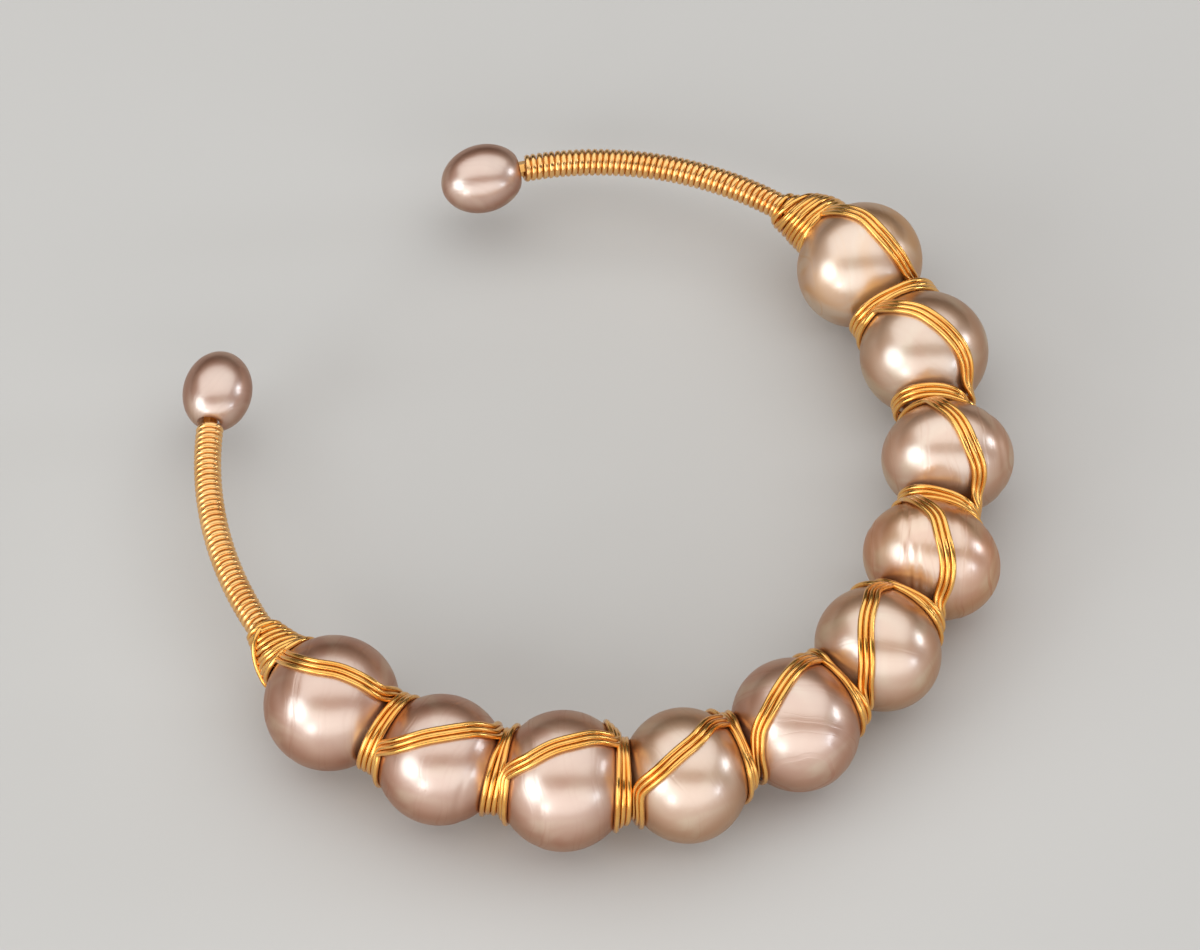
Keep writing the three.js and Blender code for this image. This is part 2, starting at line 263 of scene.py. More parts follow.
def core_point(s, theta, rho):
    """Places at lengths s, turned by theta from the outside up, at distances rho from the core line."""
    origin, out, _ = core_frame(s)
    theta, rho = np.asarray(theta, float), np.asarray(rho, float)
    place = origin + out * (rho * np.cos(theta))[..., None]
    place[..., 2] += rho * np.sin(theta)
    return place


reached = -math.radians(FIRST_PEARL_AT) * RING_RADIUS
for pearl in PEARLS:
    reached += pearl["pitch"]
    pearl["at"] = reached
    origin, out, along = core_frame(reached)
    pearl["centre"] = origin + out * pearl["shift"]
    pearl["out"], pearl["along"] = out, along

NECKS = [
    before["at"] + after["pitch"] * before["length"] / (before["length"] + after["length"])
    for before, after in zip(PEARLS, PEARLS[1:])
]
FIRST_FLAT = PEARLS[0]["at"] - FLAT_SHARE * PEARLS[0]["length"] / 2
LAST_FLAT = PEARLS[-1]["at"] + FLAT_SHARE * PEARLS[-1]["length"] / 2
print("string of pearls:", round(LAST_FLAT - FIRST_FLAT, 1), "mm along the core")

# %% [markdown]
# ## The pearls' shape
#
# Freshwater pearls of this size are near-round: a little longer or shorter than wide, slightly
# lumpy, some with grooves that ring them like a turned bead. A subdivided sphere would be too perfect,
# and sculpting can't be repeated. So each pearl is a grid of rings on an ellipsoid, pushed in by a
# few slow waves of its own and by its grooves. Where two pearls press together in a neck, both are
# eased back from the plane between them. A boolean then drills the hole for the core wire.

# %% Skins
LUMP_WAVES = 6
LUMP_PACE = (1.5, 3.2)

# Each pearl's lumps, mm, and grooves: the axis that they ring, in degrees from outwards towards
# along, then place as a share of the radius, half width as a share, and depth in mm of each.
SHAPES = [
    {"lumps": 0.10, "axis": 20, "grooves": []},
    {"lumps": 0.08, "axis": -30, "grooves": []},
    {"lumps": 0.12, "axis": -10, "grooves": [(0.06, 0.03, 0.05), (0.14, 0.03, 0.04), (0.72, 0.05, 0.05)]},
    {"lumps": 0.07, "axis": -18.6, "grooves": [
        (-0.40, 0.04, 0.10), (-0.28, 0.03, 0.07), (0.30, 0.04, 0.07), (-0.86, 0.03, 0.05),
    ]},
    {"lumps": 0.09, "axis": 60, "grooves": []},
    {"lumps": 0.13, "axis": 35, "grooves": [(0.62, 0.05, 0.04), (0.45, 0.04, 0.025)]},
    {"lumps": 0.12, "axis": 70, "grooves": []},
    {"lumps": 0.09, "axis": 80, "grooves": [(0.50, 0.05, 0.03)]},
    {"lumps": 0.08, "axis": 95, "grooves": [(-0.66, 0.05, 0.05)]},
    {"lumps": 0.10, "axis": 60, "grooves": [(0.42, 0.03, 0.03)]},
]


def lump_depth(directions, shape, seed):
    """How far a pearl's skin lies inside its ellipsoid, in mm, in each direction."""
    random = np.random.default_rng(seed)
    depth = np.zeros(directions.shape[:-1])
    for _ in range(LUMP_WAVES):
        wave = random.normal(size=3)
        wave *= random.uniform(*LUMP_PACE) / np.linalg.norm(wave)
        depth += np.sin(directions @ wave + random.uniform(0, 2 * math.pi))
    depth = shape["lumps"] * (0.5 + depth / LUMP_WAVES)
    axis = math.radians(shape["axis"])
    across = directions @ np.array([math.sin(axis), math.cos(axis), 0])
    for place, half_width, groove in shape["grooves"]:
        depth += groove * np.exp(-((across - place) / half_width) ** 2)
    return np.maximum(depth, 0)


print("grooves:", sum(len(shape["grooves"]) for shape in SHAPES))

# %% Ball grid
PEARL_RINGS = 90
PEARL_SIDES = 120
NECK_GAP = 0.05
NECK_SOFTNESS = 0.12


def ball_grid(rings, sides):
    """Directions of a ball whose poles lie on its X axis, and its faces."""
    polar = np.linspace(0, math.pi, rings + 1)[1:-1, None]
    around = np.linspace(0, 2 * math.pi, sides, endpoint=False)[None, :]
    rows = np.stack([
        np.cos(polar) + 0 * around,
        np.sin(polar) * np.cos(around),
        np.sin(polar) * np.sin(around),
    ], -1).reshape(-1, 3)
    directions = np.vstack([rows, [[1, 0, 0], [-1, 0, 0]]])
    faces = []
    for side in range(sides):
        after = (side + 1) % sides
        faces.append((len(rows), side, after))
        for ring in range(rings - 2):
            a, b = ring * sides + side, ring * sides + after
            faces.append((a, a + sides, b + sides, b))
        last = (rings - 2) * sides
        faces.append((len(rows) + 1, last + after, last + side))
    return directions, faces


def ease_back(points, plane_at, side):
    """Moves points off the plane across the core at plane_at, softly, to the given side of it."""
    origin, _, along = core_frame(plane_at)
    clear = (points - origin) @ along * side - NECK_GAP
    eased = NECK_SOFTNESS * np.logaddexp(0, clear / NECK_SOFTNESS)
    return points + np.outer(side * (eased - clear), along)


def add_mesh(name, points, faces):
    """A new smooth object from points in the part's frame, in mm."""
    mesh = bpy.data.meshes.new(name)
    mesh.from_pydata((np.asarray(points) * MM).tolist(), [], faces)
    mesh.shade_smooth()
    piece = bpy.data.objects.new(name, mesh)
    scene.collection.objects.link(piece)
    return piece


print("a pearl before drilling:", PEARL_RINGS * PEARL_SIDES, "faces")

# %% Drill
BORE_RADIUS = 0.98
DRILL_SIDES = 48


def drill(piece, start, end):
    """Cuts a straight round hole from start to end, two places in mm at the same height."""
    around = np.linspace(0, 2 * math.pi, DRILL_SIDES, endpoint=False)
    ahead = (end - start) / np.linalg.norm(end - start)
    level = np.cross(UP, ahead)
    circle = BORE_RADIUS * (np.outer(np.cos(around), level) + np.outer(np.sin(around), UP))
    points = np.vstack([circle + start, circle + end])
    faces = []
    for i in range(DRILL_SIDES):
        after = (i + 1) % DRILL_SIDES
        faces.append((i, after, DRILL_SIDES + after, DRILL_SIDES + i))
    faces += [tuple(range(DRILL_SIDES))[::-1], tuple(range(DRILL_SIDES, 2 * DRILL_SIDES))]
    bit = add_mesh("drill_bit", points, faces)
    cut = piece.modifiers.new("drill", "BOOLEAN")
    cut.operation = "DIFFERENCE"
    cut.solver = "EXACT"
    cut.object = bit
    bpy.context.view_layer.update()
    drilled = bpy.data.meshes.new_from_object(piece.evaluated_get(bpy.context.evaluated_depsgraph_get()))
    piece.modifiers.clear()
    piece.data = drilled
    bpy.data.objects.remove(bit)


print("drill:", 2 * BORE_RADIUS, "mm")

# %% Pearls
# The core is curved and a pearl's hole is straight, so the hole lies BORE_INSET mm inside the core line.
BORE_INSET = 0.22
END_HOLE = 4.2
END_SHAPE = {"lumps": 0.06, "axis": 30, "grooves": []}
FIRST_END_SEED = 20


def make_pearl(number):
    """One big pearl: lumpy skin, eased back at its necks, drilled for the core wire."""
    pearl, shape = PEARLS[number], SHAPES[number]
    directions, faces = ball_grid(PEARL_RINGS, PEARL_SIDES)
    half = np.array([pearl["length"], pearl["width"], pearl["width"]]) / 2
    own = directions * (half - lump_depth(directions, shape, seed=number)[:, None])
    points = own @ np.stack([pearl["along"], pearl["out"], UP]) + pearl["centre"]
    start = FIRST_FLAT if number == 0 else NECKS[number - 1]
    end = LAST_FLAT if number == len(PEARLS) - 1 else NECKS[number]
    points = ease_back(ease_back(points, start, 1), end, -1)
    piece = add_mesh(f"nacre_{number + 1:02d}", points, faces)
    bore_middle = pearl["centre"] - pearl["out"] * (pearl["shift"] + BORE_INSET)
    reach = pearl["along"] * pearl["length"]
    drill(piece, bore_middle - reach, bore_middle + reach)
    return piece


def make_end_pearl(end, number):
    """One small oval pearl, drilled part of the way from the side of the coil."""
    directions, faces = ball_grid(PEARL_RINGS, PEARL_SIDES)
    origin, out, along = core_frame(end["at"])
    half = np.array([end["length"], end["width"], end["width"]]) / 2
    own = directions * (half - lump_depth(directions, END_SHAPE, seed=FIRST_END_SEED + number)[:, None])
    points = own @ np.stack([along, out, UP]) + origin
    points = ease_back(points, end["at"] + end["towards"] * FLAT_SHARE * end["length"] / 2, -end["towards"])
    piece = add_mesh(f"nacre_end_{end['name']}", points, faces)
    inwards = along * end["towards"]
    mouth = origin + inwards * end["length"] / 2
    drill(piece, mouth + inwards, mouth - inwards * END_HOLE)
    return piece


pearl_pieces = [make_pearl(number) for number in range(len(PEARLS))]
end_pieces = [make_end_pearl(end, number) for number, end in enumerate(END_PEARLS)]
print("pearls:", len(pearl_pieces) + len(end_pieces), "of", len(pearl_pieces[0].data.polygons), "faces each")

# %% [markdown]
# ## Wire as a mesh
#
# Every wire is a round rod bent along a path. A curve object with a bevel would do, but its ends can't
# be rounded over, and the streaks that the drawing die leaves need a map that runs
# along the wire. So the rod is built ring by ring: each ring faces along the path, and is carried from
# the one before with as little twist as possible. The map's first number is the length in metres.

# %% Wire meshes
WIRE_SIDES = 14
# Two rings round over each end: how far out each stands from the one before, and how wide it is, both as
# shares of the diameter.
END_RINGS = ((0.10, 0.86), (0.16, 0.55))


def rod(points, diameter):
    """Points, faces and a map (metres along, share round) of a rod with rounded ends on a path in mm."""
    points = np.asarray(points, float)
    radius = np.full(len(points), diameter / 2)
    tangents = np.gradient(points, axis=0)
    tangents /= np.linalg.norm(tangents, axis=1)[:, None]
    for further, width in END_RINGS:
        points = np.vstack([points[0] - tangents[0] * further * diameter, points])
        points = np.vstack([points, points[-1] + tangents[-1] * further * diameter])
        radius = np.concatenate([[diameter / 2 * width], radius, [diameter / 2 * width]])
        tangents = np.vstack([tangents[0], tangents, tangents[-1]])
    side = np.cross(tangents[0], UP)
    rings = []
    around = np.linspace(0, 2 * math.pi, WIRE_SIDES, endpoint=False)
    for point, tangent, reach in zip(points, tangents, radius):
        side = side - tangent * (side @ tangent)
        side /= np.linalg.norm(side)
        third = np.cross(tangent, side)
        rings.append(point + reach * (np.outer(np.cos(around), side) + np.outer(np.sin(around), third)))
    length = np.concatenate([[0], np.cumsum(np.linalg.norm(np.diff(points, axis=0), axis=1))]) * MM
    faces, uvs = [], []
    for i in range(len(points) - 1):
        here, ahead = i * WIRE_SIDES, (i + 1) * WIRE_SIDES
        for j in range(WIRE_SIDES):
            k = (j + 1) % WIRE_SIDES
            faces.append((here + j, here + k, ahead + k, ahead + j))
            round_from, round_to = j / WIRE_SIDES, (j + 1) / WIRE_SIDES
            uvs += [(length[i], round_from), (length[i], round_to)]
            uvs += [(length[i + 1], round_to), (length[i + 1], round_from)]
    last = (len(points) - 1) * WIRE_SIDES
    caps = (range(WIRE_SIDES - 1, -1, -1), length[0]), (range(last, last + WIRE_SIDES), length[-1])
    for cap, at in caps:
        faces.append(tuple(cap))
        uvs += [(at, 0.5)] * WIRE_SIDES
    return np.vstack(rings), faces, uvs


sample_points, _, _ = rod([(0, 0, 0), (1, 0, 0)], WRAP_WIRE)
print("a straight rod of one piece:", len(sample_points), "points")


# %% Wires as objects
def add_wires(name, paths, diameter):
    """One object of one or more rods."""
    points, faces, uvs = [], [], []
    for path in paths:
        before = sum(len(block) for block in points)
        block, block_faces, block_uvs = rod(path, diameter)
        points.append(block)
        faces += [tuple(corner + before for corner in face) for face in block_faces]
        uvs += block_uvs
    piece = add_mesh(name, np.vstack(points), faces)
    layer = piece.data.uv_layers.new(name="along_wire")
    layer.uv.foreach_set("vector", np.array(uvs, np.float32).ravel())
    return piece


print("wire:", WIRE_SIDES, "sides")

# %% [markdown]
# ## The coils on the arms
#
# Each arm is covered by a thinner wire wound on the core, every turn close to the next. An array of
# torus rings would look the same from afar, but a real coil is one helix, and its slant shows in how
# the highlights step from turn to turn. So it is one long rod. It starts a part of a turn early, under
# the collar, and stops a little short of its last whole turn.

# %% Coils
COILS = [
    {"name": "right", "from": -6.0, "turns": 44, "pitch": -0.515, "seed": 5},
    {"name": "left", "from": 103.75, "turns": 40, "pitch": 0.51, "seed": 4},
]
COIL_EARLY = 0.4
COIL_SHORT = 0.2
COIL_SHAKE = 0.012
COIL_SLACK = 0.008
COIL_POINTS = 22


def make_coil(coil):
    """One arm's coil: a helix whose pitch shakes a little from turn to turn."""
    turn = np.linspace(-COIL_EARLY, coil["turns"] - COIL_SHORT, coil["turns"] * COIL_POINTS)
    random = np.random.default_rng(coil["seed"])
    whole_turns = range(coil["turns"] + 1)
    shake = np.interp(turn, whole_turns, random.normal(0, COIL_SHAKE, len(whole_turns)))
    reach = (CORE_WIRE + COIL_WIRE) / 2
    s = coil["from"] + coil["pitch"] * turn + shake
    path = core_point(s, 2 * math.pi * turn, np.full_like(turn, reach))
    return add_wires(f"coil_wire_{coil['name']}", [path], COIL_WIRE - 2 * COIL_SLACK)


coil_pieces = [make_coil(coil) for coil in COILS]
print("coils:", [coil["turns"] for coil in COILS], "turns")

# %% [markdown]
# ## The three wires over the pearls
#
# The maker winds three wires at once: over a pearl, one and a half times round the neck, over the
# next. A wire under tension takes the tightest way, so its path is worked out from the pearls: its
# angle is given at a few places, and its distance from the core is the pearl's own surface there,
# found by shooting a ray at it. In a neck the loops ride on the ones below them, so each neck has a row of
# distances of its own. The outer two wires lie against the middle one, on the same surface.

# %% Loops in the necks
# The loops in each neck. Degrees: the angle at which the wires come down into it and leave it.
# Millimetres: how far the loops' middle lies along the core from the plane between the pearls, how far
# the loop on top runs on to each side, and its distance from the core outside, on top and inside.
LOOPS = [
    {"enter": 18, "leave": 165, "shift": 0.53, "advance": 0.05, "outside": 3.5, "top": 2.9, "inside": 4.4},
    {"enter": 19, "leave": 167, "shift": 0.11, "advance": 0.79, "outside": 1.9, "top": 2.7, "inside": 4.2},
    {"enter": 10, "leave": 167, "shift": 0.44, "advance": 0.54, "outside": 2.5, "top": 2.6, "inside": 4.2},
    {"enter": 20, "leave": 165, "shift": 0.73, "advance": 0.34, "outside": 3.0, "top": 2.9, "inside": 3.8},
    {"enter": 20, "leave": 165, "shift": 0.50, "advance": 0.23, "outside": 3.3, "top": 2.5, "inside": 4.3},
    {"enter": 20, "leave": 165, "shift": 0.41, "advance": 0.12, "outside": 3.3, "top": 2.7, "inside": 3.4},
    {"enter": 25, "leave": 165, "shift": 0.24, "advance": 0.45, "outside": 3.8, "top": 3.2, "inside": 3.0},
    {"enter": 20, "leave": 165, "shift": -0.08, "advance": 0.29, "outside": 3.4, "top": 2.9, "inside": 3.8},
    {"enter": 22, "leave": 164, "shift": -0.32, "advance": 0.21, "outside": 3.4, "top": 3.1, "inside": 3.8},
]
print("loops:", len(LOOPS), "necks")

# %% How far out a wire lies
STRAND_LIFT = 0.025
LANDING = 0.3


def pearl_reach(pearl, number, s, theta, clearance):
    """Distance from the core line to one pearl's grown skin in the direction theta, or 0."""
    origin, out, _ = core_frame(s)
    ray = out * np.cos(theta)[:, None]
    ray[:, 2] += np.sin(theta)
    half = np.array([pearl["length"], pearl["width"], pearl["width"]]) / 2 + clearance
    axes = np.stack([pearl["along"], pearl["out"], UP], -1)
    start = (origin - pearl["centre"]) @ axes / half
    step = ray @ axes / half
    square = (step ** 2).sum(1)
    middle = (start * step).sum(1) / square
    root = middle ** 2 - ((start ** 2).sum(1) - 1) / square
    reach = np.where(root > 0, np.sqrt(np.maximum(root, 0)) - middle, 0)
    skin = start + step * reach[:, None]
    return np.maximum(reach - lump_depth(skin, SHAPES[number], seed=number), 0)


def surface_reach(s, theta):
    """Distance from the core line to a wire's middle where it lies on the pearls."""
    clearance = WRAP_WIRE / 2 + STRAND_LIFT
    reaches = [pearl_reach(pearl, i, s, theta, clearance) for i, pearl in enumerate(PEARLS)]
    return np.max(reaches, axis=0)


def wrap_reach(s, theta, loop):
    """A wire's distance from the core: on a pearl or in a neck's loop, with a soft landing between."""
    skin = surface_reach(s, theta)
    share = np.clip(0.5 + (loop - skin) / (2 * LANDING), 0, 1)
    return skin + (loop - skin) * share + LANDING * share * (1 - share)


top_of_first = surface_reach(np.array([PEARLS[0]["at"]]), np.array([math.pi / 2]))[0]
print("over the first pearl a wire lies", round(top_of_first, 2), "mm from the core line")


# %% A smooth curve through values
def through_values(places, values):
    """A smooth curve through the values that never runs past them, as a function of the place."""
    places, values = np.array(places, float), np.array(values, float)
    slopes = np.diff(values) / np.diff(places)
    before, after = np.append(slopes[0], slopes), np.append(slopes, slopes[-1])
    product = before * after
    bends = np.where(product > 0, 2 * product / np.where(product > 0, before + after, 1), 0)

    def curve(place):
        i = np.clip(np.searchsorted(places, place, side="left") - 1, 0, len(places) - 2)
        width = places[i + 1] - places[i]
        t = (place - places[i]) / width
        return ((1 + 2 * t) * (1 - t) ** 2 * values[i] + t * (1 - t) ** 2 * width * bends[i]
                + t * t * (3 - 2 * t) * values[i + 1] + t * t * (t - 1) * width * bends[i + 1])

    return curve


print("halfway from 0 to 1:", round(float(through_values([0, 1], [0, 1])(np.array([0.5]))[0]), 2))

# %% The route of the middle wire
LOOP_LOW = 2.5
LOOP_SIDE = 0.7
WRAP_STEP = 0.24


def loop_knots(middle, loop):
    """A neck's places: under it, up the inside, over the top, down the outside and under it again."""
    return [
        (middle - LOOP_SIDE, loop["enter"], LOOP_LOW),
        (middle - LOOP_SIDE, -90, LOOP_LOW),
        (middle - loop["advance"], -180, loop["inside"]),
        (middle, -270, loop["top"]),
        (middle + loop["advance"], -360, loop["outside"]),
        (middle + LOOP_SIDE, -450, LOOP_LOW),
        (middle + LOOP_SIDE, loop["leave"] - 720, LOOP_LOW),
    ]


def wrap_knots():
    """Length along the core, angle and least distance from the core of each place that a wire passes."""
    knots = []
    for i, pearl in enumerate(PEARLS):
        turned, half = -720 * i, pearl["length"] / 2
        band = [(pearl["at"] + p * half, b + turned, LOOP_LOW) for p, b in zip(BAND_PLACES, pearl["band"])]
        if i == 0:
            knots.append((pearl["at"] - BAND_END * half, pearl["band"][0], LOOP_LOW))
        knots += band
        if i == len(PEARLS) - 1:
            knots.append((pearl["at"] + BAND_END * half, pearl["band"][-1] + turned, LOOP_LOW))
        else:
            loop = LOOPS[i]
            knots += [(s, turned + turn, low) for s, turn, low in loop_knots(NECKS[i] + loop["shift"], loop)]
    return knots


def wrap_route():
    """The middle wire's length along the core, angle and least distance, in even steps."""
    s, degrees, low = np.array(wrap_knots()).T
    theta = np.radians(degrees)
    reach = wrap_reach(s, theta, low)
    across = (reach[1:] + reach[:-1]) / 2 * np.diff(theta)
    lengths = np.concatenate([[0], np.cumsum(np.hypot(np.diff(s), across))])
    place = np.linspace(0, lengths[-1], int(lengths[-1] / WRAP_STEP))
    return [through_values(lengths, column)(place) for column in (s, theta, low)]


WRAP_ROUTE = wrap_route()
print("knots:", len(wrap_knots()), "steps:", len(WRAP_ROUTE[0]))

# %% The three wires
STRAND_PITCH = 0.475
WRAP_EASING = 6
# Small steps, in mm and in radians, that feel how the surface under the wires slopes.
FEEL_S = 0.05
FEEL_THETA = 0.02


def laid_point(s, theta, low):
    """Where a wire lies at length s and angle theta."""
    return core_point(s, theta, wrap_reach(s, theta, low))


def strand_path(side):
    """One wire of the three: the middle one (0), or the one that lies against it on either side."""
    s, theta, low = WRAP_ROUTE
    by_s = laid_point(s + FEEL_S, theta, low) - laid_point(s - FEEL_S, theta, low)
    by_s /= 2 * FEEL_S
    by_theta = laid_point(s, theta + FEEL_THETA, low) - laid_point(s, theta - FEEL_THETA, low)
    by_theta /= 2 * FEEL_THETA
    ahead = np.gradient(laid_point(s, theta, low), axis=0)
    beside = np.cross(np.cross(by_s, by_theta), ahead)
    beside *= side * STRAND_PITCH / np.linalg.norm(beside, axis=1)[:, None]
    ss, st, tt = (by_s * by_s).sum(1), (by_s * by_theta).sum(1), (by_theta * by_theta).sum(1)
    to_s, to_theta = (by_s * beside).sum(1), (by_theta * beside).sum(1)
    even = ss * tt - st * st
    step_s, step_theta = (tt * to_s - st * to_theta) / even, (ss * to_theta - st * to_s) / even
    return laid_point(s + step_s, theta + step_theta, low)


def relax(path, rounds):
    """Takes the small corners out of a path, as the wire's own stiffness does."""
    for _ in range(rounds):
        path[1:-1] = (path[:-2] + 2 * path[1:-1] + path[2:]) / 4
    return path


wrap_pieces = [
    add_wires(f"wrap_{side + 2}", [relax(strand_path(side), WRAP_EASING)], WRAP_WIRE)
    for side in (-1, 0, 1)
]
print("wraps:", len(wrap_pieces[0].data.vertices), "points each")

# %% [markdown]
# ## The collars
#
# Where a coil meets the first pearl, the maker anchors the three wires by winding them up the arm in a
# cone. It is the one untidy place of the cuff: turns lean towards the pearl on top, ride over each
# other, and one stays loose. A clean spiral would look machine made, so each turn has a row of
# its own in a table, and the wire runs smoothly from row to row.

# %% Turns of the collars
# Each turn: place as a share of the collar's length, lean towards the pearl on its high side,
# distance from the core, and how much further out it stands on its high side, these three in mm.
# The angles are in degrees from the outside up: of a collar's high side, and of a layer's start.
COLLARS = {
    "right": {"from": -5.95, "pearl": 0, "high_at": 45, "turn": -1, "layers": [
        {"start": 200, "rows": [
            (0.02, 0.0, 1.25, 0.00), (0.14, 0.1, 1.32, 0.10), (0.27, 0.2, 1.42, 0.20),
            (0.40, 0.3, 1.52, 0.25), (0.53, 0.4, 1.65, 0.30), (0.66, 0.5, 1.78, 0.35),
            (0.79, 0.5, 1.90, 0.40), (0.90, 0.4, 2.02, 0.40),
        ]},
        {"start": 250, "rows": [
            (0.04, 0.3, 1.38, 0.30), (0.10, 2.2, 1.55, 0.95), (0.22, 1.4, 1.68, 0.85),
            (0.35, 1.5, 1.80, 0.90), (0.50, 1.0, 1.95, 0.90), (0.59, 1.3, 2.08, 0.95),
            (0.72, 1.2, 2.18, 0.90), (0.84, 1.0, 2.28, 0.80), (0.97, 0.9, 2.38, 0.65),
            (1.02, 0.8, 2.42, 0.50),
        ]},
    ]},
    "left": {"from": 103.7, "pearl": 9, "high_at": 145, "turn": 1, "layers": [
        {"start": 330, "rows": [
            (0.06, 0.0, 1.20, 0.00), (0.18, 0.1, 1.24, 0.05), (0.31, 0.2, 1.32, 0.08),
            (0.44, 0.3, 1.42, 0.10), (0.57, 0.4, 1.54, 0.12), (0.70, 0.5, 1.68, 0.15),
            (0.82, 0.5, 1.82, 0.20), (0.92, 0.4, 2.00, 0.20),
        ]},
        {"start": 300, "rows": [
            (0.06, 0.2, 1.26, 0.05), (0.16, 0.4, 1.38, 0.15), (0.27, 0.6, 1.50, 0.20),
            (0.38, 0.7, 1.62, 0.25), (0.46, 1.0, 1.75, 0.30), (0.60, 1.1, 1.90, 0.40),
            (0.72, 0.8, 2.05, 0.40), (0.80, 1.1, 2.20, 0.45), (0.95, 0.9, 2.35, 0.40),
            (1.02, 0.6, 2.45, 0.35),
        ]},
    ]},
}
for name, collar in COLLARS.items():
    print(f"turns of the {name} collar:", [len(layer["rows"]) for layer in collar["layers"]])

# %% Collar windings
COLLAR_POINTS = 40
COLLAR_END_RADIUS = 2.6
COLLAR_EASING = 3
SHOULDER_END = 0.98


def shoulder(pearl, rho):
    """Distance along the core from a pearl's middle to a wire that touches its shoulder at rho."""
    grow = WRAP_WIRE / 2 + STRAND_LIFT
    share = np.clip(rho / (pearl["width"] / 2 + grow), 0, SHOULDER_END)
    return (pearl["length"] / 2 + grow) * np.sqrt(1 - share ** 2)


def collar_path(collar, layer):
    """One layer of a collar, from the coil's end to the pearl's shoulder."""
    pearl = PEARLS[collar["pearl"]]
    apart, towards = abs(pearl["at"] - collar["from"]), np.sign(pearl["at"] - collar["from"])
    rows = np.array(layer["rows"])
    turn = np.linspace(0, len(rows) - 1, (len(rows) - 1) * COLLAR_POINTS)
    places = range(len(rows))
    share, lean, reach, stand = (through_values(places, column)(turn) for column in rows.T)
    theta = math.radians(layer["start"]) + collar["turn"] * 2 * math.pi * turn
    high = (1 + np.cos(theta - math.radians(collar["high_at"]))) / 2
    rho = reach + stand * high
    whole = apart - shoulder(pearl, COLLAR_END_RADIUS)
    along = np.minimum(whole * share + lean * high, apart - shoulder(pearl, rho))
    return relax(core_point(collar["from"] + towards * along, theta, rho), COLLAR_EASING)


for name, collar in COLLARS.items():
    print(f"steps of the {name} collar:", [len(collar_path(collar, layer)) for layer in collar["layers"]])

# %% The loose strand, and the collars as objects
# The strand that stayed loose on the left collar: share of the collar's length, angle in degrees from
# the outside up, and distance from the core in mm.
LOOSE_STRAND = [
    (0.22, 72, 1.60), (0.34, 42, 1.85), (0.56, 8, 2.10), (0.78, -12, 2.38),
    (0.98, -30, 2.62), (1.06, -60, 2.62), (1.06, -100, 2.55),
]
LOOSE_EASING = 2


def loose_path(collar):
    """The loose strand, bowed out beside the windings from the coil's end to the pearl."""
    pearl = PEARLS[collar["pearl"]]
    apart = pearl["at"] - collar["from"]
    whole = apart - np.sign(apart) * shoulder(pearl, COLLAR_END_RADIUS)
    share, angle, rho = np.array(LOOSE_STRAND).T
    knots = range(len(LOOSE_STRAND))
    place = np.linspace(0, len(LOOSE_STRAND) - 1, COLLAR_POINTS)
    s = collar["from"] + whole * through_values(knots, share)(place)
    theta = np.radians(through_values(knots, angle)(place))
    return relax(core_point(s, theta, through_values(knots, rho)(place)), LOOSE_EASING)


collar_paths = {
    name: [collar_path(collar, layer) for layer in collar["layers"]] for name, collar in COLLARS.items()
}
collar_paths["left"].append(loose_path(COLLARS["left"]))
collar_pieces = [
    add_wires(f"collar_winding_{name}", paths, WRAP_WIRE) for name, paths in collar_paths.items()
]
print("collars:", len(collar_pieces))

# %% [markdown]
# ## Nacre
#
# A pearl's skin is thousands of clear layers over a tinted body. It has three parts to copy: a soft
# body colour that drifts over the pearl, growth lines that ring it, and a satin mirror on top with
# a sharper one over it. The drift and the lines are the same idea on every pearl, so they are one node
# group, and each pearl gives it its own colours. The satin mirror is the shader's own reflection, made
# strong by a high IOR, and the sharper one is its coat. Towards the rim the skin turns metallic and its
# coat fades, so the rim mirrors the room in the body colour: this is painted shade, which makes the rim
# darker and more copper where it is seen aslant. A thin film is the obvious choice for nacre, but over
# so strong a mirror it turned the pearls green.


# %% Node helpers
def new_group(name, inputs, outputs):
    """An empty node group with named sockets."""
    group = bpy.data.node_groups.new(name, "ShaderNodeTree")
    for socket, kind, value in inputs:
        made = group.interface.new_socket(socket, in_out="INPUT", socket_type=kind)
        if value is not None:
            made.default_value = value
    for socket, kind in outputs:
        group.interface.new_socket(socket, in_out="OUTPUT", socket_type=kind)
    start, end = group.nodes.new("NodeGroupInput"), group.nodes.new("NodeGroupOutput")
    return group, group.nodes, group.links, start, end


def noise(nodes, links, vector, scale, detail, distortion=0.0):
    """A noise node that reads the given vector."""
    node = add_node(nodes, "ShaderNodeTexNoise")
    node.inputs["Scale"].default_value = scale
    node.inputs["Detail"].default_value = detail
    node.inputs["Distortion"].default_value = distortion
    links.new(vector, node.inputs["Vector"])
    return node


def spread(nodes, links, value, low, high, to_low=0.0, to_high=1.0):
    """Stretches the values between low and high to a new range, smoothly."""
    node = add_node(nodes, "ShaderNodeMapRange", interpolation_type="SMOOTHSTEP")
    for name, number in (("From Min", low), ("From Max", high), ("To Min", to_low), ("To Max", to_high)):
        node.inputs[name].default_value = number
    links.new(value, node.inputs["Value"])
    return node.outputs["Result"]


def feed(links, socket, value):
    """Links an input socket to another socket, or sets it to a plain value."""
    if isinstance(value, bpy.types.NodeSocket):
        links.new(value, socket)
    else:
        socket.default_value = value


def mix_colour(nodes, links, share, first, second):
    """A mix of two colours, which may each be a socket or a colour."""
    node = add_node(nodes, "ShaderNodeMix", data_type="RGBA")
    for socket, value in ((node.inputs[0], share), (node.inputs[6], first), (node.inputs[7], second)):
        feed(links, socket, value)
    return node.outputs[2]


def maths(nodes, links, operation, first, second):
    """One sum on two values, which may each be a socket or a number."""
    node = add_node(nodes, "ShaderNodeMath", operation=operation)
    for socket, value in zip(node.inputs, (first, second)):
        feed(links, socket, value)
    return node.outputs[0]


print("groups so far:", len(bpy.data.node_groups))

# %% The nacre group
# Waves per metre of each pattern on a pearl.
DRIFT_SCALE = 210
PATCH_SCALE = 150
WOBBLE_SCALE = 260
RING_SCALE = 2400
GRAIN_SCALE = 2600
SWELL_SCALE = 360
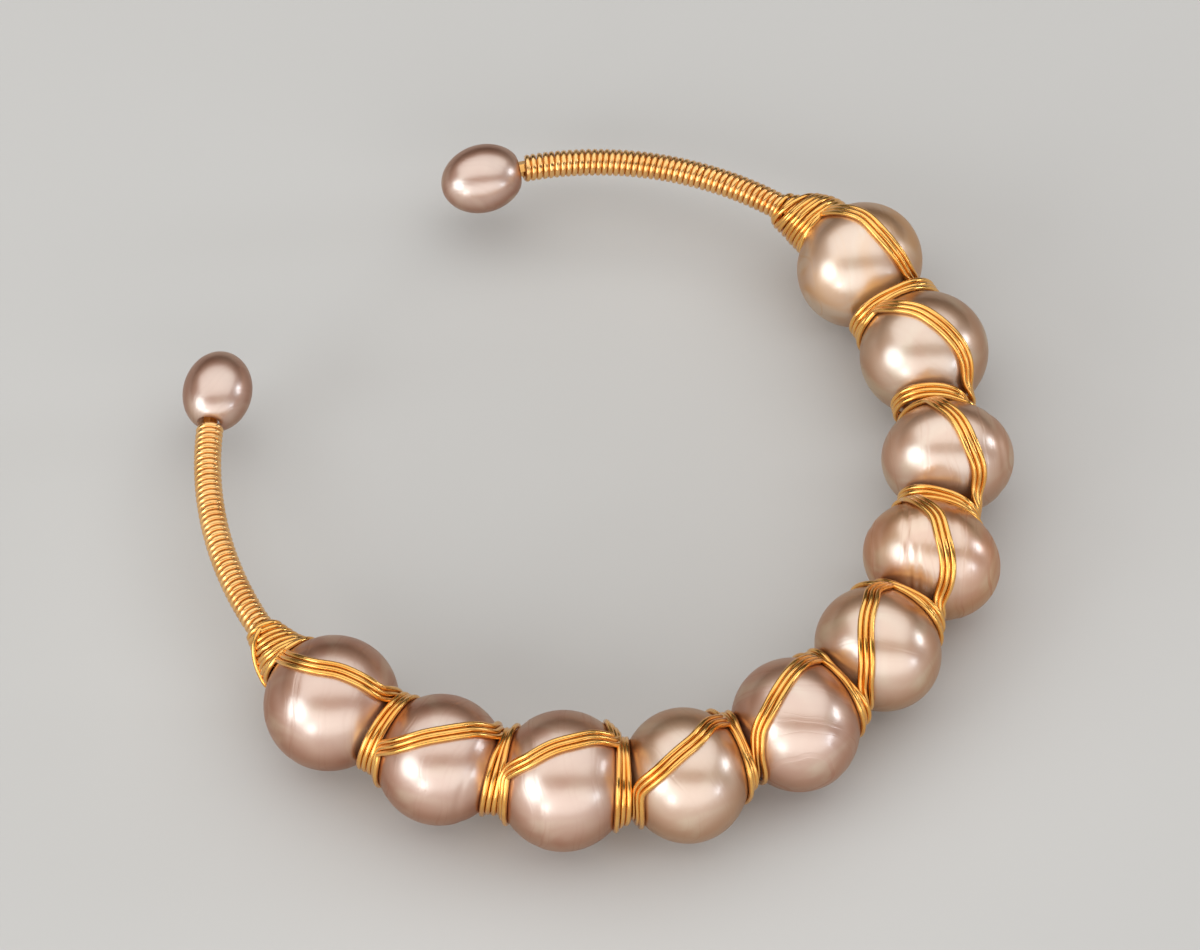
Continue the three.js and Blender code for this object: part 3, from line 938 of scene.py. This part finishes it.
# How far the growth lines sway, in metres, and how high the grain is against the swell.
RING_SWAY = 0.0016
GRAIN_SHARE = 0.10


def make_nacre_group():
    """Place on a pearl in, colour, growth lines and height out."""
    group, nodes, links, start, end = new_group(
        "nacre skin",
        [
            ("Place", "NodeSocketVector", None),
            ("Axis", "NodeSocketVector", (1, 0, 0)),
            ("Body", "NodeSocketColor", (0.7, 0.5, 0.4, 1)),
            ("Blush", "NodeSocketColor", (0.6, 0.35, 0.25, 1)),
            ("Cream", "NodeSocketColor", (0.8, 0.7, 0.55, 1)),
            ("Line Strength", "NodeSocketFloat", 0.3),
        ],
        [("Color", "NodeSocketColor"), ("Lines", "NodeSocketFloat"), ("Height", "NodeSocketFloat")],
    )
    place = start.outputs["Place"]
    drifting = noise(nodes, links, place, DRIFT_SCALE, 1.5, 0.6)
    drift = spread(nodes, links, drifting.outputs["Fac"], 0.38, 0.66)
    patchy = noise(nodes, links, place, PATCH_SCALE, 2.5, 1.2)
    patches = spread(nodes, links, patchy.outputs["Fac"], 0.46, 0.68)
    wobble = noise(nodes, links, place, WOBBLE_SCALE, 1.0)
    across = add_node(nodes, "ShaderNodeVectorMath", operation="DOT_PRODUCT")
    links.new(place, across.inputs[0])
    links.new(start.outputs["Axis"], across.inputs[1])
    sway = maths(nodes, links, "MULTIPLY", wobble.outputs["Fac"], RING_SWAY)
    bent = maths(nodes, links, "ADD", across.outputs["Value"], sway)
    rings = add_node(nodes, "ShaderNodeTexNoise", noise_dimensions="1D")
    rings.inputs["Scale"].default_value = RING_SCALE
    rings.inputs["Detail"].default_value = 3
    links.new(bent, rings.inputs["W"])
    crests = spread(nodes, links, rings.outputs["Fac"], 0.52, 0.72)
    lines = maths(nodes, links, "MULTIPLY", crests, start.outputs["Line Strength"])
    fine = noise(nodes, links, place, GRAIN_SCALE, 3)
    colour = mix_colour(nodes, links, drift, start.outputs["Body"], start.outputs["Blush"])
    colour = mix_colour(nodes, links, patches, colour, start.outputs["Cream"])
    colour = mix_colour(nodes, links, lines, colour, start.outputs["Blush"])
    swell = noise(nodes, links, place, SWELL_SCALE, 1.0)
    grain = maths(nodes, links, "MULTIPLY", fine.outputs["Fac"], GRAIN_SHARE)
    relief = maths(nodes, links, "ADD", grain, swell.outputs["Fac"])
    height = maths(nodes, links, "SUBTRACT", relief, lines)
    links.new(colour, end.inputs["Color"])
    links.new(lines, end.inputs["Lines"])
    links.new(height, end.inputs["Height"])
    return group


NACRE = make_nacre_group()
print("group:", NACRE.name, len(NACRE.nodes), "nodes")

# %% The nacre material
NACRE_RELIEF = 0.00004
# Roughness of the satin mirror between the growth lines, and on them.
SATIN = (0.34, 0.48)
# Slant, from 0 where the skin faces us to 1 at the rim: where a change starts and ends, and the value
# at each.
# Painted shade: the rim turns metallic and loses its coat, so it looks darker and more copper.
RIM_SHADE_METAL = (0.12, 0.60, 0.0, 0.9)
RIM_SHADE_COAT = (0.35, 1.0, 0.55, 0.05)


def make_nacre(name, look, axis_degrees, centre, along):
    """One pearl's finish: the nacre skin in its own colours, turned to its own axis."""
    material, nodes, links, shader = new_material(name)
    frame_place = add_node(nodes, "ShaderNodeTexCoord")
    place = add_node(nodes, "ShaderNodeMapping", vector_type="TEXTURE")
    place.inputs["Location"].default_value = Vector(centre) * MM
    place.inputs["Rotation"].default_value = (0, 0, math.atan2(along[1], along[0]))
    links.new(frame_place.outputs["Object"], place.inputs["Vector"])
    skin = add_node(nodes, "ShaderNodeGroup", node_tree=NACRE)
    axis = math.radians(axis_degrees)
    skin.inputs["Axis"].default_value = (math.sin(axis), math.cos(axis), 0)
    for layer in ("body", "blush", "cream"):
        skin.inputs[layer.title()].default_value = (*look[layer], 1)
    skin.inputs["Line Strength"].default_value = look["lines"]
    links.new(place.outputs["Vector"], skin.inputs["Place"])
    links.new(skin.outputs["Color"], shader.inputs["Base Color"])
    add_bump(nodes, links, shader, skin.outputs["Height"], 0.35, NACRE_RELIEF)
    links.new(spread(nodes, links, skin.outputs["Lines"], 0, 1, *SATIN), shader.inputs["Roughness"])
    weight = add_node(nodes, "ShaderNodeLayerWeight")
    weight.inputs["Blend"].default_value = 0.5
    slant = weight.outputs["Facing"]
    # Painted shade on the rim: metallic rises and the coat fades as the slant grows.
    links.new(spread(nodes, links, slant, *RIM_SHADE_METAL), shader.inputs["Metallic"])
    links.new(spread(nodes, links, slant, *RIM_SHADE_COAT), shader.inputs["Coat Weight"])
    shader.inputs["IOR"].default_value = 2.5
    shader.inputs["Specular IOR Level"].default_value = 1.0
    shader.inputs["Specular Tint"].default_value = (0.98, 0.97, 0.92, 1)
    shader.inputs["Coat Roughness"].default_value = 0.17
    shader.inputs["Coat IOR"].default_value = 1.6
    return material


print("sockets of the group:", [socket.name for socket in NACRE.interface.items_tree])

# %% The pearls' colours
# Each pearl's body, blush and cream, and how strong its growth lines are.
LOOKS = [
    {"body": (0.54, 0.31, 0.18), "blush": (0.58, 0.28, 0.09), "cream": (0.60, 0.44, 0.31), "lines": 0.30},
    {"body": (0.48, 0.27, 0.15), "blush": (0.46, 0.22, 0.10), "cream": (0.56, 0.40, 0.25), "lines": 0.30},
    {"body": (0.52, 0.29, 0.17), "blush": (0.52, 0.25, 0.13), "cream": (0.60, 0.42, 0.27), "lines": 0.60},
    {"body": (0.56, 0.28, 0.12), "blush": (0.52, 0.20, 0.07), "cream": (0.62, 0.38, 0.20), "lines": 0.70},
    {"body": (0.51, 0.28, 0.15), "blush": (0.48, 0.22, 0.10), "cream": (0.57, 0.39, 0.23), "lines": 0.35},
    {"body": (0.48, 0.24, 0.14), "blush": (0.44, 0.18, 0.09), "cream": (0.54, 0.35, 0.22), "lines": 0.55},
    {"body": (0.50, 0.27, 0.14), "blush": (0.47, 0.22, 0.10), "cream": (0.57, 0.38, 0.23), "lines": 0.35},
    {"body": (0.46, 0.225, 0.125), "blush": (0.42, 0.165, 0.08), "cream": (0.54, 0.33, 0.21), "lines": 0.50},
    {"body": (0.44, 0.20, 0.11), "blush": (0.40, 0.145, 0.065), "cream": (0.52, 0.31, 0.19), "lines": 0.50},
    {"body": (0.44, 0.195, 0.105), "blush": (0.39, 0.14, 0.06), "cream": (0.52, 0.31, 0.19), "lines": 0.45},
]
END_LOOK = {
    "body": (0.40, 0.175, 0.10), "blush": (0.33, 0.115, 0.05), "cream": (0.48, 0.28, 0.18), "lines": 0.35,
}


def finish_in(piece, material):
    """Gives a piece one material and no other."""
    piece.data.materials.clear()
    piece.data.materials.append(material)


for number, (piece, look) in enumerate(zip(pearl_pieces, LOOKS)):
    pearl, axis = PEARLS[number], SHAPES[number]["axis"]
    finish_in(piece, make_nacre(f"nacre_{number + 1:02d}", look, axis, pearl["centre"], pearl["along"]))
for piece, end in zip(end_pieces, END_PEARLS):
    origin, _, along = core_frame(end["at"])
    finish_in(piece, make_nacre(f"nacre_end_{end['name']}", END_LOOK, END_SHAPE["axis"], origin, along))
print("nacre:", len(LOOKS) + len(END_PEARLS), "materials from one group")

# %% [markdown]
# ## Gold-coloured wire
#
# The wire is bright and new. Up close it isn't a perfect mirror: drawing leaves fine streaks
# along it, and handling leaves soft wear. The streaks follow the map that each rod carries, stretched
# long and thin. The core wire comes from the frame without that map, so its streaks run in
# its own space.

# %% Gold wire
# Waves of the streaks per metre along the wire and per turn round it, or per metre in space.
STREAK_SCALE = {"UV": (260, 9, 1), "Object": (900, 900, 900)}
WEAR_SCALE = 420
STREAK_RELIEF = 0.00001
# Roughness in and beside a streak, as shares of the wire's own.
STREAK_SHARES = (0.75, 1.35)


def make_gold(name, colour, deep, roughness, map_kind="UV"):
    """Bright wire with drawing streaks along it and soft patches of wear."""
    material, nodes, links, shader = new_material(name)
    place = add_node(nodes, "ShaderNodeTexCoord")
    stretch = add_node(nodes, "ShaderNodeMapping")
    stretch.inputs["Scale"].default_value = STREAK_SCALE[map_kind]
    links.new(place.outputs[map_kind], stretch.inputs["Vector"])
    streaks = noise(nodes, links, stretch.outputs["Vector"], 1.0, 4)
    wear = noise(nodes, links, place.outputs["Object"], WEAR_SCALE, 3)
    tone = spread(nodes, links, wear.outputs["Fac"], 0.40, 0.70)
    links.new(mix_colour(nodes, links, tone, (*colour, 1), (*deep, 1)), shader.inputs["Base Color"])
    low, high = (roughness * share for share in STREAK_SHARES)
    links.new(spread(nodes, links, streaks.outputs["Fac"], 0.3, 0.7, low, high), shader.inputs["Roughness"])
    add_bump(nodes, links, shader, streaks.outputs["Fac"], 0.03, STREAK_RELIEF)
    shader.inputs["Metallic"].default_value = 1.0
    shader.inputs["Coat Weight"].default_value = 0.35
    shader.inputs["Coat Roughness"].default_value = 0.08
    return material


gold_wrap = make_gold("gold_wrap", (0.88, 0.475, 0.125), (0.80, 0.38, 0.075), 0.24)
gold_coil = make_gold("gold_coil", (0.90, 0.53, 0.20), (0.82, 0.44, 0.14), 0.27)
gold_core = make_gold("gold_core", (0.88, 0.47, 0.13), (0.78, 0.37, 0.08), 0.2, "Object")
for piece in wrap_pieces + collar_pieces:
    finish_in(piece, gold_wrap)
for piece in coil_pieces:
    finish_in(piece, gold_coil)
finish_in(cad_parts["core_wire"], gold_core)
print("gold wire:", len(wrap_pieces + collar_pieces + coil_pieces) + 1, "pieces")

# %% [markdown]
# ## Hand over the pieces
#
# Every new piece rides on the one body and stands for its plain piece of the frame, which is hidden.


def hand_over(piece, node):
    """Puts a piece on the root body and hides the plain piece that it stands for."""
    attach(piece, "root")
    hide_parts(node)


for number, piece in enumerate(pearl_pieces, 1):
    hand_over(piece, f"pearl_{number:02d}")
for piece, end in zip(end_pieces, END_PEARLS):
    hand_over(piece, f"end_pearl_{end['name']}")
for piece, coil in zip(coil_pieces, COILS):
    hand_over(piece, f"coil_{coil['name']}")
for piece, name in zip(collar_pieces, COLLARS):
    hand_over(piece, f"collar_{name}")
for number, piece in enumerate(wrap_pieces, 1):
    hand_over(piece, f"wrap_wire_{number}")
